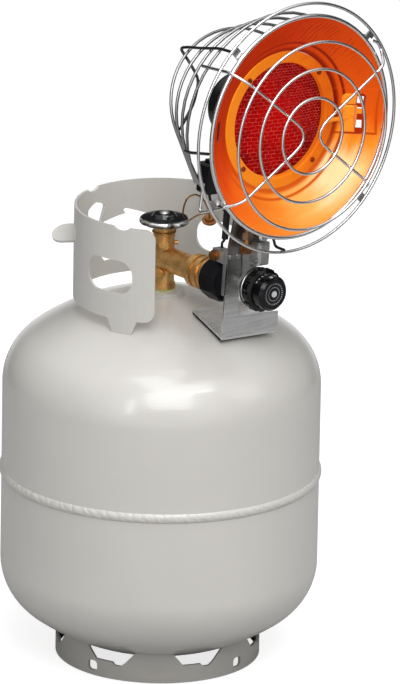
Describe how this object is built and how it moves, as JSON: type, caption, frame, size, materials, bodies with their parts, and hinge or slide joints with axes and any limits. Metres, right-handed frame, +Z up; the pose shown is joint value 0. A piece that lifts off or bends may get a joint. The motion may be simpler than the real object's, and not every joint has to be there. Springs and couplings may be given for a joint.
{
  "type": "portable propane heater",
  "caption": "Single-burner infrared propane heater with a wire guard, clamped on the valve of an upright steel gas cylinder.",
  "frame": {"origin": "centre of the foot ring's underside, on the gas cylinder's axis", "axes": "+Z up along the cylinder's axis, -Y the way the heater faces, +X to the right of someone facing the heater"},
  "size_m": [0.3144, 0.3617, 0.6974],
  "materials": {
    "paint": "gloss",
    "weld": "satin",
    "brass": "satin",
    "sealant": "matte",
    "steel": "brushed",
    "rubber": "matte",
    "wheel": "gloss",
    "black_plastic": "satin",
    "casting": "rough",
    "bright": "polished",
    "copper": "satin",
    "black_paint": "gloss",
    "dark_steel": "satin",
    "glow": "matte",
    "heated": "satin",
    "reflector": "polished"
  },
  "bodies": {
    "heater": {"foot_ring": "paint", "lower_shell": "paint", "upper_shell": "paint", "girth_weld": "weld", "valve_boss": "paint", "collar": "paint", "valve_body": "brass", "thread_sealant": "sealant", "valve_bonnet": "brass", "relief_cap": "brass", "lanyard": "brass", "outlet_plug": "brass", "inlet_nipple": "brass", "regulator_body": "casting", "regulator_cover": "casting", "magnet_unit": "bright", "gas_fittings": "brass", "dial_bezel": "bright", "bracket": "steel", "foot_pad": "rubber", "regulator_screws": "steel", "gas_tube": "steel", "gas_jet": "copper", "mixing_drum": "black_paint", "drum_clamp": "steel", "burner_pan": "dark_steel", "inner_screen": "glow", "emitter_screen": "glow", "burner_bezel": "heated", "bezel_screws": "dark_steel", "reflector": "reflector", "dish_rim": "bright", "thermocouple": "heated", "thermocouple_lead": "copper", "tilt_switch": "black_plastic", "switch_lead": "rubber", "guard_ring_outer": "bright", "guard_ring_large": "bright", "guard_ring_middle": "bright", "guard_ring_small": "bright", "hairpin_left": "bright", "hairpin_right": "bright", "rear_arc_1": "bright", "rear_arc_2": "bright", "rear_arc_3": "bright", "rear_arc_4": "bright", "rear_strut_left": "black_paint", "rear_strut_right": "black_paint", "lower_strut": "black_paint", "rim_clips": "steel"},
    "handwheel": {"handwheel": "wheel", "handwheel_screw": "steel", "valve_spindle": "steel"},
    "seat_disc": {"seat_disc": "rubber"},
    "coupling_nut": {"coupling_nut": "black_plastic"},
    "push_rod": {"push_rod": "steel"},
    "control_knob": {"control_knob": "black_plastic", "knob_cap": "casting", "control_shaft": "steel"},
    "bleeder_screw": {"bleeder_screw": "brass"}
  },
  "joints": [
    {"name": "handwheel_turn", "type": "hinge", "parent": "heater", "child": "handwheel", "pos_m": [0, 0, 0.44], "axis": [0, 0, 1], "range_deg": [0, 720]},
    {"name": "seat_lift", "type": "slide", "parent": "heater", "child": "seat_disc", "axis": [0, 0, 1], "range_m": [0, 0.003]},
    {"name": "nut_turn", "type": "hinge", "parent": "heater", "child": "coupling_nut", "pos_m": [0, -0.083, 0.4025], "axis": [0, -1, 0], "range_deg": [0, 720]},
    {"name": "knob_push", "type": "slide", "parent": "heater", "child": "push_rod", "axis": [0, 1, 0], "range_m": [0, 0.004], "stiffness_N_per_m": 900},
    {"name": "knob_turn", "type": "hinge", "parent": "push_rod", "child": "control_knob", "pos_m": [0.01197, -0.1225, 0.40166], "axis": [0, -1, 0], "range_deg": [0, 210]},
    {"name": "bleeder_turn", "type": "hinge", "parent": "heater", "child": "bleeder_screw", "pos_m": [-0.00856, -0.01057, 0.419], "axis": [-0.6293, -0.7771, 0], "range_deg": [0, 360]}
  ],
  "couplings": [
    {"joint": "seat_lift", "follows": "handwheel_turn", "m_per_rad": 0.00023873}
  ]
}
